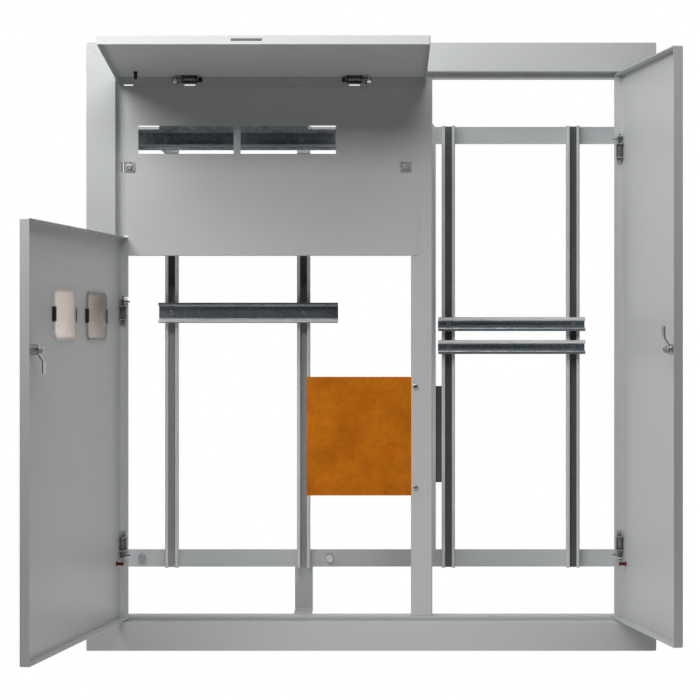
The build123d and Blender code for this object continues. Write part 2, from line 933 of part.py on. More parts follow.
def window_places():
    places = []
    for inset in window_insets:
        places.append(left_edge + inset)
    return places


def make_window_pane(x):
    """A moulded pane on the panel's inner face, with a raised rim and a step that fills the cut-out."""
    seat = front + door_sheet
    pane = window_plate(x, 0, seat, seat + pane_sheet)
    pane -= window_plate(x, pane_rim, seat + pane_sheet - pane_pocket, seat + pane_sheet + 1)
    step = window_plate(x, window_lap + part_play, seat - door_sheet * 0.7, seat + 0.1)
    return pane + step


def make_pane_clips(x):
    """Two spring clips that hold a pane at its sides."""
    seat = front + door_sheet
    clips = []
    for side in (-1, 1):
        edge = x + side * (window_width / 2 + part_play)
        foot = edge + side * pane_clip_width
        over = edge - side * pane_rim
        middle = seat + pane_sheet + pane_clip_sheet / 2 + part_play
        low = seat + pane_clip_sheet / 2
        stem = edge + side * pane_clip_sheet
        points = ((over, middle), (stem, middle), (stem, low), (foot, low))
        section = folded(points, pane_clip_sheet, pane_clip_bend)
        base = window_z - pane_clip_length / 2
        clips.append(extrude(Pos(0, 0, base) * section, pane_clip_length))
    return clips


def make_flap_panel():
    panel = tray(left_edge, left_meeting, flap_bottom, flap_top)
    panel -= lip_slot(flap_bottom)
    for side in (-1, 1):
        panel -= flap_hinge(side)(lip_notch())
    return panel


def make_left_door_panel():
    panel = tray(left_edge, left_meeting, door_bottom, left_door_top)
    panel -= lip_slot(left_door_top)
    panel -= lock_hole(-1)
    for x in window_places():
        panel -= window_plate(x, window_lap, front - 1, front + door_sheet + 1)
    for z, pin_up in side_hinges(-1):
        panel -= upright_hinge(-1, z, pin_up)(lip_notch())
    return panel


def make_right_door_panel():
    panel = tray(right_meeting, right_edge, door_bottom, right_door_top)
    panel -= lock_hole(1)
    for z, pin_up in side_hinges(1):
        panel -= upright_hinge(1, z, pin_up)(lip_notch())
    return panel


def side_hinges(side):
    """Z of each hinge on a side door, and whether its pin points up."""
    upper, lower = left_hinges if side < 0 else right_hinges
    return ((upper, True), (lower, False))


def make_earth_stud(x, z):
    """A threaded stud on the inside of a door, with a thin welding collar."""
    seat = front + door_sheet
    stud = rod((x, seat, z), (0, 1, 0), earth_stud_radius, earth_stud_length)
    stud = chamfer(stud.edges().sort_by(Axis.Y)[-1], 0.6)
    return stud + rod((x, seat, z), (0, 1, 0), earth_stud_radius + 1.2, 0.8)


# Locks, drawn with the lock's axis along Y from the panel's face at the origin


def lock_barrel():
    barrel = rod((0, -lock_head_height, 0), (0, 1, 0), lock_head_radius, lock_head_height)
    barrel = fillet(barrel.edges().sort_by(Axis.Y)[0], 0.8)
    barrel += rod((0, 0, 0), (0, 1, 0), barrel_radius, barrel_length)
    barrel = chamfer(barrel.edges().sort_by(Axis.Y)[-1], 0.5)
    bore = lock_head_height + barrel_length + 2
    return barrel - rod((0, -lock_head_height - 1, 0), (0, 1, 0), core_radius + core_play, bore)


def lock_core():
    face = -lock_head_height
    core = rod((0, face, 0), (0, 1, 0), core_radius, barrel_length - face)
    core = chamfer(core.edges().sort_by(Axis.Y)[0], 0.4)
    core += rod((0, barrel_length, 0), (0, 1, 0), stud_radius, stud_reach - barrel_length)
    slot = block(-key_slot_width / 2, key_slot_width / 2, face - 1, face + key_slot_depth, -3.6, 3.6)
    return core - slot


def lever_seat():
    """Depth of the lever's hub behind the panel's face."""
    return barrel_length + part_play


def cam_lever():
    """A cranked lever that lies along +X and reaches behind the post."""
    hub_y = lever_seat() + lever_sheet / 2
    tip_y = rebate_depth + post_sheet + lever_behind_post + lever_sheet / 2
    hub = lever_width / 2
    points = ((-hub, hub_y), (lever_crank_start, hub_y), (lever_crank_end, tip_y), (lever_reach, tip_y))
    lever = extrude(Pos(0, 0, -hub) * folded(points, lever_sheet, 2.5), lever_width)
    tip_edges = lever.edges().filter_by(Axis.Y).sort_by(Axis.X)
    lever = fillet(tip_edges[:2] + tip_edges[-2:], hub * 0.7)
    return lever - rod((0, hub_y - lever_sheet, 0), (0, 1, 0), stud_radius + thread_play, 2 * lever_sheet)


def cam_nut():
    start = lever_seat() + lever_sheet + part_play
    return nut((0, start, 0), (0, 1, 0), cam_nut_flats, cam_nut_height, stud_radius + thread_play)


def place_lock(shape, side, turn):
    """Puts a lock piece on a door, turned about the lock's axis; at 90 degrees its lever points up."""
    turned = Rot(0, -turn, 0) * shape
    return Pos(lock_place(side), front, lock_z) * turned


# The doors in their open places


def swing(shape, side):
    """Turns a piece of a side door from shut to open."""
    x = left_edge + pin_inset if side < 0 else right_edge - pin_inset
    angle = -left_door_open if side < 0 else right_door_open
    return shape.rotate(Axis((x, pin_y, 0), (0, 0, 1)), angle)


def lift(shape):
    """Turns a piece of the flap from shut to open."""
    return shape.rotate(Axis((0, pin_y, flap_top - pin_inset), (1, 0, 0)), -flap_open)


def save(name, shapes):
    """Writes one node, as one solid or as a group of separate solids."""
    solids = []
    for shape in shapes if isinstance(shapes, list) else [shapes]:
        solids.extend(shape.solids())
    whole = solids[0] if len(solids) == 1 else Compound(children=solids)
    whole.label = name
    export_step(whole, "parts/" + name + ".step")


def save_frame():
    save("outer_frame", make_outer_frame())
    save("centre_post", make_centre_post())
    lugs = []
    for side in (-1, 1):
        lugs.append(flap_hinge(side)(hinge_lug()))
        for z, pin_up in side_hinges(side):
            lugs.append(upright_hinge(side, z, pin_up)(hinge_lug()))
    save("hinge_lugs", lugs)


def save_rack():
    save("crossbar_lower", make_crossbar(crossbar_lower_z))
    save("crossbar_upper", make_crossbar(crossbar_upper_z))
    names = ("left_outer", "left_inner", "right_inner", "right_outer")
    for index, name in enumerate(names):
        save("upright_" + name, make_upright(index))
    save("sub_rack_bar_lower", make_sub_bar(crossbar_lower_z))
    save("sub_rack_bar_upper", make_sub_bar(crossbar_upper_z))
    save("divider_strip", make_divider_strip())
    save("link_plate", make_link_plate())
    save("foot_strap", make_foot_strap())
    bolts, nuts = rack_bolt_set()
    save("rack_bolts", bolts)
    save("rack_nuts", nuts)


def save_rails():
    pair = upright_centres[:2]
    past = (breaker_rail_past_outer, breaker_rail_past_inner)
    face = behind(breaker_rail_face)
    save("breaker_rail", make_rail(pair, *past, face, breaker_rail_z, rail_height, rail_hat))
    save("rail_bracket", make_rail_bracket())
    past = (meter_rail_past_outer, meter_rail_past_inner)
    face = upright_front(0) - rail_depth
    save("meter_rail", make_rail(pair, *past, face, meter_rail_z, rail_height, rail_hat))
    pair = upright_centres[2:]
    past = (terminal_rail_past_inner, terminal_rail_past_outer)
    face = upright_front(2) - rail_depth
    for name, z in zip(("upper", "lower"), terminal_rail_places):
        rail = make_rail(pair, *past, face, z, terminal_rail_width, terminal_rail_hat)
        save("terminal_rail_" + name, rail)
    screws, nuts = rail_fasteners()
    save("rail_screws", screws)
    save("channel_nuts", nuts)


def save_cover_and_board():
    save("breaker_cover", make_breaker_cover())
    save("cover_clips", [make_cover_clip(-1), make_cover_clip(1)])
    save("cover_screws", [make_cover_screw(-1), make_cover_screw(1)])
    save("meter_board", make_meter_board())
    grip = post_sheet + board_sheet + small_nut_height + screw_past_nut
    board_screws = []
    for z in board_screw_places:
        board_screws.append(screw((board_screw_x, stop_face, z), (0, 1, 0), grip))
    save("board_screws", board_screws)
    save("small_nuts", small_nut_set())


def save_flap():
    save("flap_panel", lift(make_flap_panel()))
    save("flap_hinge_brackets", [lift(flap_hinge(side)(hinge_bracket())) for side in (-1, 1)])
    stud_x = left_edge + flap_stud_side
    save("flap_stud", lift(make_earth_stud(stud_x, flap_top - flap_stud_inset)))
    for side, name in ((-1, "left"), (1, "right")):
        place = flap_hinge(side)
        save("flap_pin_" + name, lift(place(hinge_pin(flap_tail_length))))
        save("flap_spring_" + name, lift(place(hinge_spring())))


def save_side_door(side, name, panel, lever_turn):
    save(name + "_door_panel", swing(panel, side))
    brackets = []
    for (z, pin_up), which in zip(side_hinges(side), ("upper", "lower")):
        place = upright_hinge(side, z, pin_up)
        brackets.append(swing(place(hinge_bracket()), side))
        save(name + "_pin_" + which, swing(place(hinge_pin()), side))
        save(name + "_spring_" + which, swing(place(hinge_spring()), side))
    save(name + "_hinge_brackets", brackets)
    edge = left_edge + earth_stud_inset if side < 0 else right_edge - earth_stud_inset
    save(name + "_earth_stud", swing(make_earth_stud(edge, earth_stud_z), side))
    save(name + "_lock_barrel", swing(place_lock(lock_barrel(), side, 0), side))
    save(name + "_lock_core", swing(place_lock(lock_core(), side, lever_turn), side))
    save(name + "_cam_lever", swing(place_lock(cam_lever(), side, lever_turn), side))
    save(name + "_cam_nut", swing(place_lock(cam_nut(), side, lever_turn), side))


def save_doors():
    save_flap()
    save_side_door(-1, "left", make_left_door_panel(), -90)
    save_side_door(1, "right", make_right_door_panel(), 90)
    panes = []
    clips = []
    for x in window_places():
        panes.append(swing(make_window_pane(x), -1))
        clips.extend(swing(clip, -1) for clip in make_pane_clips(x))
    save("window_panes", panes)
    save("pane_clips", clips)


os.makedirs("parts", exist_ok=True)
save_frame()
save_rack()
save_rails()
save_cover_and_board()
save_doors()
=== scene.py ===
# %% [markdown]
# # A flush electrical enclosure, dressed from its frame
# The object is the front of a cabinet that is let into a wall: a painted steel flange with three tray
# doors, a breaker cover under the lifting flap, and a rack of slotted uprights and hat rails behind.
# The frame that is loaded here already has every sheet, screw and spring in its exact place, so this
# lesson adds what a drawing lacks: the camera, the finishes, the threads, the moulded panes, the welds and
# the light.

import bpy
import numpy as np
from mathutils import Matrix, Vector


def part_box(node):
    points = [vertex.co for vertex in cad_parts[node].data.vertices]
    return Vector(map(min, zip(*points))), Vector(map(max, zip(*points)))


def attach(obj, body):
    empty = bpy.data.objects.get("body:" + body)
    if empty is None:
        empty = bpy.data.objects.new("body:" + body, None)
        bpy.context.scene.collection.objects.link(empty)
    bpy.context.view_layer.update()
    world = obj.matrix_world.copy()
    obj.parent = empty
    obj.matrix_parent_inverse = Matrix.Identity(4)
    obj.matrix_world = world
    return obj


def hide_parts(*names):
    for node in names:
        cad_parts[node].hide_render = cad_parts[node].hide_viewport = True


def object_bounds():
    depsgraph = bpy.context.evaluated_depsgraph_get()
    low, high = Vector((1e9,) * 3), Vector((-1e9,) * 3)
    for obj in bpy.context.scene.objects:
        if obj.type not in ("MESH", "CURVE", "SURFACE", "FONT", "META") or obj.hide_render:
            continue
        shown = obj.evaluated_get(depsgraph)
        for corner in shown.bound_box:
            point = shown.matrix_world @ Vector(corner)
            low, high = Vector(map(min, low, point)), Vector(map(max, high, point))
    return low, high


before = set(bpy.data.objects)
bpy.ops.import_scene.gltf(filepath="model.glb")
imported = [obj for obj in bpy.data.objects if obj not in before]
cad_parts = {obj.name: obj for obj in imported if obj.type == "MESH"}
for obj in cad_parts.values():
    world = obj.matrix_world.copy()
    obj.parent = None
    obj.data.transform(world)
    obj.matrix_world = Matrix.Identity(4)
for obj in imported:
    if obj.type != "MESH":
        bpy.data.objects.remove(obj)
cad_box = [list(corner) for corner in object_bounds()]
plain_materials = len(bpy.data.materials)

# %% [markdown]
# ## Where the camera stands
# A product photograph of a cabinet is taken from far off with a long lens, straight in front, so that
# the frame stays square. The distance decides how much smaller the rack looks than the flange, and the
# focal length then decides the size in the picture. The frame isn't quite in the middle of the picture:
# a small lens shift moves it, which keeps the upright edges upright, as turning the camera wouldn't.

# %% Camera
picture_width = 700.0
metres_per_pixel = 0.001644
frame_centre_pixel = (371.3, 346.7)
camera_distance = 3.300
flange_low, flange_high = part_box("outer_frame")
middle_height = (flange_low.z + flange_high.z) / 2

camera_data = bpy.data.cameras.new("camera")
camera_data.sensor_width = 36.0
camera_data.lens = camera_distance / metres_per_pixel * camera_data.sensor_width / picture_width
camera_data.shift_x = (picture_width / 2 - frame_centre_pixel[0]) / picture_width
camera_data.shift_y = (frame_centre_pixel[1] - picture_width / 2) / picture_width
camera = bpy.data.objects.new("camera", camera_data)
camera.location = (0.0, flange_low.y - camera_distance, middle_height)
camera.rotation_euler = (np.pi / 2, 0.0, 0.0)
bpy.context.collection.objects.link(camera)
bpy.context.scene.camera = camera
print("lens %.1f mm at %.2f m" % (camera_data.lens, camera_distance))

# %% [markdown]
# ## Small helpers for node trees
# A material in Blender is a tree of nodes. Adding a node, setting its unlinked sockets and linking the
# others takes many lines, so one helper does all three: a value that is itself a socket is linked, and
# any other value is written on the socket.

# %% Node helpers


def add_node(tree, kind, settings=None, **inputs):
    """Adds a node; settings are its properties, and inputs are its sockets by name or by number."""
    node = tree.nodes.new(kind)
    for key, value in (settings or {}).items():
        setattr(node, key, value)
    for key, value in inputs.items():
        by_number = key[0] == "i" and key[1:].isdigit()
        socket = node.inputs[int(key[1:]) if by_number else key.replace("_", " ")]
        if isinstance(value, bpy.types.NodeSocket):
            tree.links.new(value, socket)
        else:
            socket.default_value = value
    return node


def calculate(tree, operation, first, second=0.0, third=0.0):
    """The result of one step of arithmetic."""
    settings = {"operation": operation}
    return add_node(tree, "ShaderNodeMath", settings, i0=first, i1=second, i2=third).outputs[0]


def remap(tree, value, low, high, to_low, to_high):
    """A value taken from one range to another and held inside it."""
    node = add_node(
        tree, "ShaderNodeMapRange", None,
        Value=value, From_Min=low, From_Max=high, To_Min=to_low, To_Max=to_high,
    )
    return node.outputs[0]


def mix_colour(tree, factor, first, second):
    """Two colours mixed by a factor; a Mix node keeps its colours in sockets 6 and 7 and output 2."""
    return add_node(tree, "ShaderNodeMix", {"data_type": "RGBA"}, i0=factor, i6=first, i7=second).outputs[2]


# %% [markdown]
# ## Patterns that stay on the piece
# Every pattern here is a function of a point's place in the object's own coordinates. A picture wrapped
# around the piece would need an unwrapped mesh and a file, while noise of a place fits any shape, shows no
# joint at an edge, and stays on a door as it swings.

# %% Places and noise


def object_place(tree):
    """The place of a point in metres, in the coordinates of the piece's own mesh."""
    return add_node(tree, "ShaderNodeTexCoord").outputs["Object"]


def noise(tree, vector, scale, detail, roughness):
    """Cloudy noise between 0 and 1."""
    node = add_node(
        tree, "ShaderNodeTexNoise", None,
        Vector=vector, Scale=scale, Detail=detail, Roughness=roughness,
    )
    return node.outputs[0]


def stretched(tree, vector, scale):
    """Coordinates scaled by a different amount along each axis."""
    return add_node(tree, "ShaderNodeMapping", None, Vector=vector, Scale=scale).outputs[0]


# %% [markdown]
# ## Groups that several materials share
# Paint, zinc and plating each come in several colours but wear in the same way. A node group is built
# once, with named inputs for what differs, and placed in each material that needs it.

# %% Node groups


def new_group(name, inputs, outputs):
    """An empty node group with its named sockets, and its two end nodes."""
    group = bpy.data.node_groups.new(name, "ShaderNodeTree")
    for title, kind, value in inputs:
        socket = group.interface.new_socket(title, in_out="INPUT", socket_type=kind)
        socket.default_value = value
    for title, kind in outputs:
        group.interface.new_socket(title, in_out="OUTPUT", socket_type=kind)
    return group, group.nodes.new("NodeGroupInput"), group.nodes.new("NodeGroupOutput")


def use_group(tree, group, **inputs):
    """A group placed in a material, with values for its inputs; gives its outputs."""
    return add_node(tree, "ShaderNodeGroup", {"node_tree": group}, **inputs).outputs


# %% [markdown]
# ## Powder coat
# The sheets are steel with a baked polyester powder, which flows into a skin with a fine orange peel:
# shallow dimples about 1.5 mm across. Over a whole door the gloss also drifts a little, and handling
# leaves faint rubbed patches. All of it is one node group, so the doors, the frame and the cover share
# the same skin and differ only in colour.

# %% Powder coat group
powder_group, group_in, group_out = new_group(
    "powder_coat",
    (("Colour", "NodeSocketColor", (0.5, 0.5, 0.5, 1.0)), ("Gloss", "NodeSocketFloat", 0.4)),
    (("Colour", "NodeSocketColor"), ("Roughness", "NodeSocketFloat"), ("Height", "NodeSocketFloat")),
)
place = object_place(powder_group)
peel = noise(powder_group, place, 620.0, 2.0, 0.55)
drift = noise(powder_group, place, 3.2, 3.0, 0.6)
rubbed = remap(powder_group, noise(powder_group, place, 9.0, 5.0, 0.65), 0.56, 0.72, 0.0, 1.0)
specks = remap(powder_group, noise(powder_group, place, 240.0, 1.0, 0.4), 0.77, 0.82, 0.0, 1.0)
lighter = mix_colour(powder_group, remap(powder_group, drift, 0.3, 0.7, 0.0, 0.10),
                     group_in.outputs["Colour"], (0.72, 0.73, 0.73, 1.0))
darker = mix_colour(powder_group, calculate(powder_group, "MULTIPLY", specks, 0.10),
                    lighter, (0.25, 0.25, 0.26, 1.0))
powder_rough = calculate(powder_group, "ADD", group_in.outputs["Gloss"],
                         remap(powder_group, drift, 0.3, 0.7, -0.04, 0.05))
powder_rough = calculate(powder_group, "ADD", powder_rough,
                         calculate(powder_group, "MULTIPLY", rubbed, 0.06))
powder_group.links.new(darker, group_out.inputs["Colour"])
powder_group.links.new(powder_rough, group_out.inputs["Roughness"])
powder_group.links.new(peel, group_out.inputs["Height"])
print("powder coat group:", len(powder_group.nodes), "nodes")

# %% [markdown]
# ## Hot-dip zinc
# The rails and uprights are rolled from galvanised strip. Zinc freezes in crystals, on thin strip only
# 2 to 4 mm wide, and each crystal reflects in its own direction, so that neighbours look darker and
# brighter. A Voronoi texture gives just such cells: its random colour sets the tone and gloss of each
# crystal. A larger cloud of noise stands for the oil film and the dust that dull the strip in patches.

# %% Spangle group
spangle_group, group_in, group_out = new_group(
    "zinc_spangle",
    (("Dark", "NodeSocketColor", (0.3, 0.3, 0.3, 1.0)), ("Light", "NodeSocketColor", (0.6, 0.6, 0.6, 1.0)),
     ("Crystals", "NodeSocketFloat", 300.0), ("Gloss", "NodeSocketFloat", 0.4)),
    (("Colour", "NodeSocketColor"), ("Roughness", "NodeSocketFloat"), ("Height", "NodeSocketFloat")),
)
place = object_place(spangle_group)
warp = add_node(spangle_group, "ShaderNodeTexNoise", None, Vector=place, Scale=150.0, Detail=3.0)
warped = add_node(spangle_group, "ShaderNodeVectorMath", {"operation": "MULTIPLY_ADD"},
                  i0=warp.outputs["Color"], i1=(0.004, 0.004, 0.004), i2=place).outputs[0]
crystal = add_node(spangle_group, "ShaderNodeTexVoronoi", None,
                   Vector=warped, Scale=group_in.outputs["Crystals"])
tone = add_node(spangle_group, "ShaderNodeSeparateColor", None, Color=crystal.outputs["Color"]).outputs[0]
film = remap(spangle_group, noise(spangle_group, place, 38.0, 4.0, 0.62), 0.35, 0.68, 0.0, 0.5)
tone = calculate(spangle_group, "MULTIPLY_ADD", tone, 0.5, film)
spangle_group.links.new(
    mix_colour(spangle_group, tone, group_in.outputs["Dark"], group_in.outputs["Light"]),
    group_out.inputs["Colour"],
)
zinc_rough = calculate(spangle_group, "ADD", group_in.outputs["Gloss"],
                       remap(spangle_group, tone, 0.1, 0.9, 0.09, -0.09))
spangle_group.links.new(zinc_rough, group_out.inputs["Roughness"])
spangle_group.links.new(calculate(spangle_group, "MULTIPLY", tone, 0.5), group_out.inputs["Height"])
print("spangle group:", len(spangle_group.nodes), "nodes")

# %% [markdown]
# ## Plated and drawn steel
# Screws, nuts, hinge pins and levers are zinc or nickel plated. Tumbling in a barrel leaves them with a
# cloudy shine and short random scratches, and handling with slightly duller spots.

# %% Plating group
plating_group, group_in, group_out = new_group(
    "barrel_plating",
    (("Colour", "NodeSocketColor", (0.6, 0.6, 0.6, 1.0)), ("Gloss", "NodeSocketFloat", 0.25),
     ("Grime", "NodeSocketFloat", 0.3)),
    (("Colour", "NodeSocketColor"), ("Roughness", "NodeSocketFloat"), ("Height", "NodeSocketFloat")),
)
place = object_place(plating_group)
cloud = noise(plating_group, place, 260.0, 4.0, 0.6)
scratch = noise(plating_group, stretched(plating_group, place, (300.0, 2600.0, 1100.0)), 1.0, 2.0, 0.5)
scratch = remap(plating_group, scratch, 0.60, 0.68, 0.0, 1.0)
grime = remap(plating_group, noise(plating_group, place, 90.0, 4.0, 0.65), 0.45, 0.70, 0.0, 1.0)
grime = calculate(plating_group, "MULTIPLY", grime, group_in.outputs["Grime"])
plating_group.links.new(
    mix_colour(plating_group, grime, group_in.outputs["Colour"], (0.16, 0.15, 0.13, 1.0)),
    group_out.inputs["Colour"],
)
shine = calculate(plating_group, "ADD", group_in.outputs["Gloss"],
                  remap(plating_group, cloud, 0.3, 0.7, -0.05, 0.10))
shine = calculate(plating_group, "MULTIPLY_ADD", scratch, 0.12, shine)
plating_group.links.new(shine, group_out.inputs["Roughness"])
scratched = calculate(plating_group, "MULTIPLY_ADD", scratch, -0.5, cloud)
plating_group.links.new(scratched, group_out.inputs["Height"])
print("plating group:", len(plating_group.nodes), "nodes")

# %% [markdown]
# ## From groups to materials
# A group only puts out colours, values and a height. The Principled shader stays in the material, and
# what is the same all over the surface, such as metalness, is written on its socket. The height goes
# through a Bump node, which tilts the light as a dent of that depth in metres would.

# %% Material helpers
peel_depth = 0.00003
scratch_depth = 0.000006


def new_material(name, **sockets):
    """A material with its node tree and its Principled shader; sockets are the shader's fixed values."""
    material = bpy.data.materials.new(name)
    material.use_nodes = True
    shader = material.node_tree.nodes["Principled BSDF"]
    for key, value in sockets.items():
        shader.inputs[key.replace("_", " ")].default_value = value
    return material, material.node_tree, shader


def finish_surface(tree, shader, colour, rough, height, depth, strength=1.0):
    """Feeds a colour, a roughness and a height to the shader, with the bump's depth in metres."""
    tree.links.new(colour, shader.inputs["Base Color"])
    tree.links.new(rough, shader.inputs["Roughness"])
    bump = add_node(tree, "ShaderNodeBump", None, Strength=strength, Distance=depth, Height=height)
    tree.links.new(bump.outputs[0], shader.inputs["Normal"])


def painted(name, colour, gloss):
    """A powder-coated finish, its orange peel a few hundredths of a millimetre deep."""
    material, tree, shader = new_material(name, Metallic=0.0)
    coat = use_group(tree, powder_group, Colour=colour, Gloss=gloss)
    finish_surface(tree, shader, coat["Colour"], coat["Roughness"], coat["Height"], peel_depth)
    return material


def plated(name, colour, gloss, grime):
    """A barrel-plated finish, bare metal all over."""
    material, tree, shader = new_material(name, Metallic=1.0)
    coat = use_group(tree, plating_group, Colour=colour, Gloss=gloss, Grime=grime)
    finish_surface(tree, shader, coat["Colour"], coat["Roughness"], coat["Height"], scratch_depth)
    return material


# %% [markdown]
# ## Paints and metals
# With these helpers each finish is one line: its name, its colour, how dull it is and, on metal, how
# grimy. The doors, the cover and the rack left the same paint shop, so their greys lie close together. The
# flap's hinges are blackened, the side doors' are plated, and the pins are drawn steel that has darkened.

# %% Paint and metal finishes
paint_colour = (0.555, 0.572, 0.570, 1.0)
door_paint = painted("door_paint", paint_colour, 0.36)
cover_paint = painted("cover_paint", (0.560, 0.575, 0.570, 1.0), 0.42)
rack_paint = painted("rack_paint", (0.600, 0.630, 0.640, 1.0), 0.42)
# The link plate is coloured near black, far darker than the rack around it.
near_black_plate = painted("near_black_plate", (0.045, 0.055, 0.065, 1.0), 0.45)
screw_zinc = plated("screw_zinc", (0.66, 0.67, 0.68, 1.0), 0.30, 0.18)
hinge_zinc = plated("hinge_zinc", (0.62, 0.64, 0.64, 1.0), 0.30, 0.12)
pin_steel = plated("pin_steel", (0.20, 0.20, 0.20, 1.0), 0.28, 0.25)
dark_hinge = plated("dark_hinge", (0.05, 0.05, 0.055, 1.0), 0.34, 0.20)
spring_wire = plated("spring_wire", (0.42, 0.43, 0.44, 1.0), 0.25, 0.20)
lock_nickel = plated("lock_nickel", (0.66, 0.64, 0.60, 1.0), 0.18, 0.35)
lever_zinc = plated("lever_zinc", (0.58, 0.57, 0.54, 1.0), 0.27, 0.40)
print("metal and paint finishes:", len(bpy.data.materials) - plain_materials)

# %% [markdown]
# ## Uprights
# Little light gets into the uprights' channels, so their insides are darkened with painted shade, less so
# low in the left pair. Higher up, the left pair also gets a painted shadow of the cover and the flap.
# Painting a mask by hand would need a picture file, so the shade is found from the place of a point
# instead: how far it lies from the nearest upright's middle, and whether it is behind the channel's lips.
# Two more steps of the place set how strong the shade is.

# %% Uprights
upright_spangle_depth = 0.00002
lip_thickness = 0.0017
half_channel = 0.0099
# Heights over which the painted shadow of the cover and flap deepens in the left uprights' channels.
cover_shadow_heights = (0.545, 0.585)


def between(tree, value, low, high, soft=0.0004):
    """One where a value lies between two limits, falling to nought over a soft edge."""
    rise = remap(tree, value, low - soft, low + soft, 0.0, 1.0)
    fall = remap(tree, value, high - soft, high + soft, 1.0, 0.0)
    return calculate(tree, "MULTIPLY", rise, fall)


def object_axes(tree):
    """The place of a point split into its three axes."""
    return add_node(tree, "ShaderNodeSeparateXYZ", None, Vector=object_place(tree)).outputs


upright_names = ("upright_left_outer", "upright_left_inner", "upright_right_inner", "upright_right_outer")
upright_zinc, tree, shader = new_material("upright_zinc", Metallic=0.12)
zinc = use_group(tree, spangle_group, Dark=(0.68, 0.69, 0.68, 1.0), Light=(0.82, 0.83, 0.82, 1.0),
                 Crystals=420.0, Gloss=0.48)
axis = object_axes(tree)
off_middle = 1.0
for name in upright_names:
    low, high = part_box(name)
    gap = calculate(tree, "ABSOLUTE", calculate(tree, "SUBTRACT", axis[0], (low.x + high.x) / 2))
    off_middle = calculate(tree, "MINIMUM", gap, off_middle)
channel_y = max(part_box(name)[0].y for name in upright_names) + lip_thickness
behind_lips = remap(tree, axis[1], channel_y, channel_y + 0.002, 0.0, 1.0)
inside = calculate(tree, "MULTIPLY", between(tree, off_middle, -1.0, half_channel, 0.0002), behind_lips)
# Painted shade: each channel's inside is mixed towards near black, weaker in the left pair, with a painted
# shadow higher up on the left.
left_pair = remap(tree, axis[0], -0.02, 0.10, 1.0, 0.0)
painted_cover_shadow = calculate(tree, "MULTIPLY", left_pair, remap(tree, axis[2], *cover_shadow_heights, 0.0, 0.93))
channel_shade_strength = calculate(tree, "MAXIMUM", painted_cover_shadow, calculate(tree, "MULTIPLY_ADD", left_pair, -0.42, 0.84))
painted_channel_shade = calculate(tree, "MULTIPLY", inside, channel_shade_strength)
channel_colour = mix_colour(tree, painted_channel_shade, zinc["Colour"], (0.035, 0.040, 0.042, 1.0))
finish_surface(tree, shader, channel_colour, zinc["Roughness"], zinc["Height"], upright_spangle_depth)
print("uprights' channels begin %.4f m behind the wall's face" % channel_y)

# %% [markdown]
# ## Hat rails
# Along one lip of each hat rail a pale strip is painted: a painted highlight for the lamps' light that
# the lip's face catches from above. The strip is a band of heights, measured from the lowest point of the
# rail's own box, and noise that is stretched along the rail breaks its edge up. In the strip the colour
# goes to white and the surface counts as paint rather than as metal, so that it does not mirror the dark
# room.

# %% Hat rails
rail_spangle_depth = 0.00001
# Heights of the painted highlight strip on each rail, above the foot of its box.
highlight_strips = (
    ("meter_rail", 0.0012, 0.0082),
    ("terminal_rail_upper", 0.0178, 0.0236),
    ("terminal_rail_lower", 0.0178, 0.0236),
    ("breaker_rail", 0.0062, 0.0110),
)
rail_zinc, tree, shader = new_material("rail_zinc")
zinc = use_group(tree, spangle_group, Dark=(0.26, 0.30, 0.33, 1.0), Light=(0.58, 0.64, 0.68, 1.0),
                 Crystals=380.0, Gloss=0.38)
axis = object_axes(tree)
strips = 0.0
for name, strip_foot, strip_top in highlight_strips:
    low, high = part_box(name)
    across = between(tree, axis[0], low.x, high.x)
    strip = between(tree, axis[2], low.z + strip_foot, low.z + strip_top, 0.0003)
    strips = calculate(tree, "MULTIPLY_ADD", across, strip, strips)
streaks = noise(tree, stretched(tree, object_place(tree), (40.0, 300.0, 900.0)), 1.0, 3.0, 0.6)
broken = remap(tree, streaks, 0.30, 0.55, 0.55, 1.0)
strips = calculate(tree, "MULTIPLY", calculate(tree, "MINIMUM", strips, 1.0), broken)
# The painted highlight: white, a little rougher, and no longer metal.
rail_colour = mix_colour(tree, strips, zinc["Colour"], (1.0, 1.0, 1.0, 1.0))
rail_rough = calculate(tree, "MULTIPLY_ADD", strips, 0.2, zinc["Roughness"])
tree.links.new(remap(tree, strips, 0.0, 1.0, 1.0, 0.08), shader.inputs["Metallic"])
finish_surface(tree, shader, rail_colour, rail_rough, zinc["Height"], rail_spangle_depth)
# The strips counted here are painted highlights.
print("rubbed strips on", len(highlight_strips), "rails")

# %% [markdown]
# ## The frame's mitred corners
# The flange is four folded lengths that are cut at 45 degrees, welded and ground flat before painting.
# What shows is a faint line from the outer corner to the rebate. It needs no geometry: the distance of a
# point from the line is worked out from its place, and a narrow smooth step of it darkens the paint a
# little and dips the surface.

# %% Frame paint with mitre lines
line_core, line_edge = 0.0003, 0.0014
frame_paint, tree, shader = new_material("frame_paint", Metallic=0.0)
coat = use_group(tree, powder_group, Colour=paint_colour, Gloss=0.40)
axis = object_axes(tree)
from_side = calculate(tree, "SUBTRACT", flange_high.x, calculate(tree, "ABSOLUTE", axis[0]))
from_middle = calculate(tree, "ABSOLUTE", calculate(tree, "SUBTRACT", axis[2], middle_height))
from_end = calculate(tree, "SUBTRACT", flange_high.z - middle_height, from_middle)
off_line = calculate(tree, "ABSOLUTE", calculate(tree, "SUBTRACT", from_side, from_end))
seam = remap(tree, off_line, line_core, line_edge, 1.0, 0.0)
seam_tone = calculate(tree, "MULTIPLY", seam, 0.16)
seam_colour = mix_colour(tree, seam_tone, coat["Colour"], (0.16, 0.16, 0.17, 1.0))
dipped = calculate(tree, "MULTIPLY_ADD", seam, -2.5, coat["Height"])
finish_surface(tree, shader, seam_colour, coat["Roughness"], dipped, peel_depth)
print("mitre lines run in from the corners at x = %.4f" % flange_high.x)

